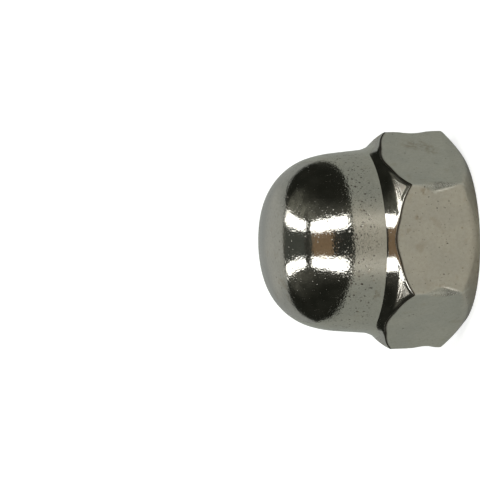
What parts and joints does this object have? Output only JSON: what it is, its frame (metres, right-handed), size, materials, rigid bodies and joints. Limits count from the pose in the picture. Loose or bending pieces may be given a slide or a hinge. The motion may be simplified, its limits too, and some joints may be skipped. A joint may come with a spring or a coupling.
{
  "type": "domed cap nut",
  "caption": "Hexagon cap nut with a tapered domed end, a blind fine-threaded hole and a flat bearing face.",
  "frame": {"origin": "centre of the flat bearing face round the mouth of the thread; the nut stands on this face", "axes": "+Z along the nut's axis, from the open mouth to the dome's nose; +X towards one corner of the hexagon; +Y square to one flat"},
  "size_m": [0.0196, 0.017, 0.018],
  "materials": {
    "nickel_plate": "worn nickel plate on steel, glossy, warm grey"
  },
  "bodies": {
    "root": {"cap_nut": "nickel_plate"}
  },
  "joints": []
}
